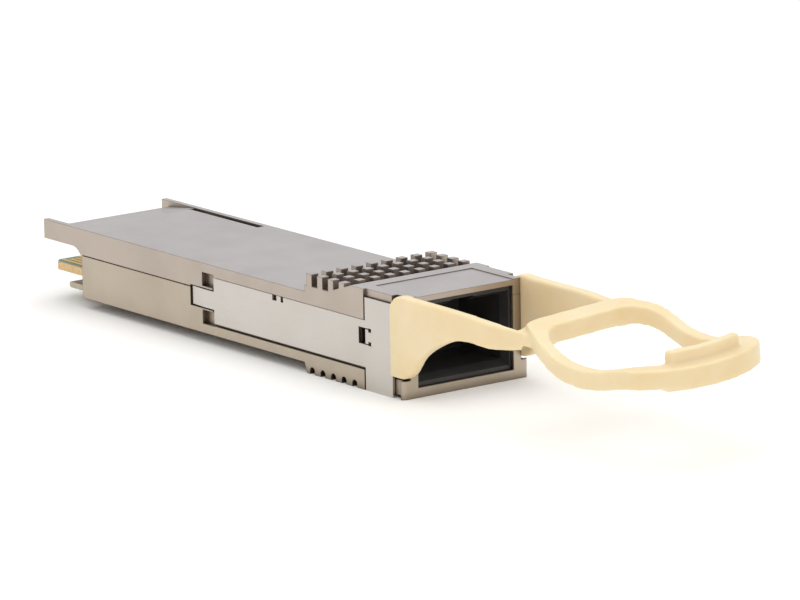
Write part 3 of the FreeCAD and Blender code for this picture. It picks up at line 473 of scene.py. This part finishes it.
# %% Round the tab off
NET_MM = 0.2
RELAX_STEPS = 9
tab = mesh_copy("pull_tab", "moulded_pull_tab")
use(tab, "REMESH", mode="VOXEL", voxel_size=NET_MM * MM, adaptivity=0.0)
use(tab, "SMOOTH", factor=0.5, iterations=RELAX_STEPS)
only(tab)
bpy.ops.object.shade_smooth()
wear(tab, tab_rubber)
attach(tab, "release")
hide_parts("pull_tab")
print("tab faces:", len(tab.data.polygons))

# %% [markdown]
# ## The return springs
# Each spring is a coil of drawn wire that the slider squeezes against the end of its pocket. A
# rigid coil would be cut by the slider at full travel. Each is made again from the CAD coil,
# shaded smooth and set to ride with the housing.

# %% Two smoothed coils
for name in ("return_spring_near", "return_spring_far"):
    coil = mesh_copy(name, name + "_coil")
    bpy.ops.object.shade_smooth()
    wear(coil, spring_wire)
    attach(coil, "housing")
    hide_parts(name)
    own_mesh(coil)

# %% [markdown]
# ## Light and floor
# Product light for metal is mostly large, soft and white, because metal shows what is round it. A
# broad panel hangs overhead, a second stands at the left for the long side, and a weak one fills
# the front. The floor is pale and just touches the lowest point.


# %% Soft panels
def soft_panel(name, offset_mm, size_mm, watts, target):
    """A rectangular area light that looks at the target from an offset."""
    light = bpy.data.lights.new(name, "AREA")
    light.shape = "RECTANGLE"
    light.size, light.size_y = (s * MM for s in size_mm)
    light.energy = watts
    lamp = bpy.data.objects.new(name, light)
    bpy.context.scene.collection.objects.link(lamp)
    place = target + Vector(offset_mm) * MM
    lamp.location = place
    lamp.rotation_euler = (target - place).to_track_quat("-Z", "Y").to_euler()


middle = (Vector(cad_size[0]) + Vector(cad_size[1])) / 2
soft_panel("overhead panel", (-60, 60, 420), (420, 420), 0.5, middle)
soft_panel("side panel", (-260, -420, 150), (420, 260), 0.15, middle)
soft_panel("front panel", (420, -120, 120), (220, 200), 0.12, middle)

# %% [markdown]
# Metal mirrors the room, so the walls are dimmer than the ceiling. Only the view past the object,
# which no surface mirrors, is plain white. The Standard view keeps that white from turning grey.

# %% A white room that is dimmer near the horizon
ROOM_LOW, ROOM_HIGH = 0.45, 1.15
FULL_HEIGHT = 0.75    # the upward share of a direction at which the room is at its brightest
world = bpy.data.worlds.new("white studio")
bpy.context.scene.world = world
world.use_nodes = True
room = world.node_tree
backdrop = room.nodes["Background"]
upward = add(room, "ShaderNodeSeparateXYZ",
             Vector=add(room, "ShaderNodeTexCoord").outputs["Generated"]).outputs["Z"]
glow = between(room, upward, ROOM_LOW, ROOM_HIGH, 0.0, FULL_HEIGHT)
seen = add(room, "ShaderNodeLightPath").outputs["Is Camera Ray"]
level = add(room, "ShaderNodeMath", operation="MAXIMUM")
room.links.new(glow, level.inputs[0])
room.links.new(seen, level.inputs[1])
room.links.new(level.outputs["Value"], backdrop.inputs["Strength"])
backdrop.inputs["Color"].default_value = colour("#FFFFFF")
bpy.context.scene.view_settings.view_transform = "Standard"
print("room strength from %.2f to %.2f" % (ROOM_LOW, ROOM_HIGH))

# %% [markdown]
# A matt white card catches the soft shadow under the module.

# %% A pale floor
FLOOR_METRES = 40
bpy.ops.object.select_all(action="DESELECT")
bpy.ops.mesh.primitive_plane_add(size=FLOOR_METRES, location=(0, 0, cad_size[0][2]))
floor = bpy.context.object
floor.name = "studio_floor"
pale, pale_tree, pale_shader = start_finish("matt white card", Roughness=0.9)
card = two_tone(pale_tree, between(pale_tree, grain(pale_tree, 30.0), 0, 1), "#F6F5F3", "#FAF9F7")
pale_tree.links.new(card, pale_shader.inputs["Base Color"])
wear(floor, pale)
print("floor at z = %.2f mm" % (cad_size[0][2] / MM))

# %% [markdown]
# ## Camera
# A long lens from far off keeps the module's long edges nearly parallel. The camera stands at the
# front near corner, a little above, and leans by about one degree.

# %% Long lens at the near front corner
HEADING = math.radians(53.16)
HEIGHT_ANGLE = math.radians(12.71)
LEAN = math.radians(-1.03)
DISTANCE = 842.9 * MM
AIM = Vector((28.37, 0.52, 6.92)) * MM
FOCAL_MM = 325.7
FAR_METRES = 100
toward = Vector((math.sin(HEADING) * math.cos(HEIGHT_ANGLE),
                 -math.cos(HEADING) * math.cos(HEIGHT_ANGLE), math.sin(HEIGHT_ANGLE)))
lens = bpy.data.cameras.new("long lens")
lens.lens = FOCAL_MM
lens.clip_end = FAR_METRES
camera = bpy.data.objects.new("camera", lens)
bpy.context.scene.collection.objects.link(camera)
camera.matrix_world = (Matrix.Translation(AIM + toward * DISTANCE)
                       @ toward.to_track_quat("Z", "Y").to_matrix().to_4x4()
                       @ Matrix.Rotation(LEAN, 4, "Z"))
bpy.context.scene.camera = camera
print("camera at", tuple(round(c / MM, 1) for c in camera.matrix_world.translation), "mm")
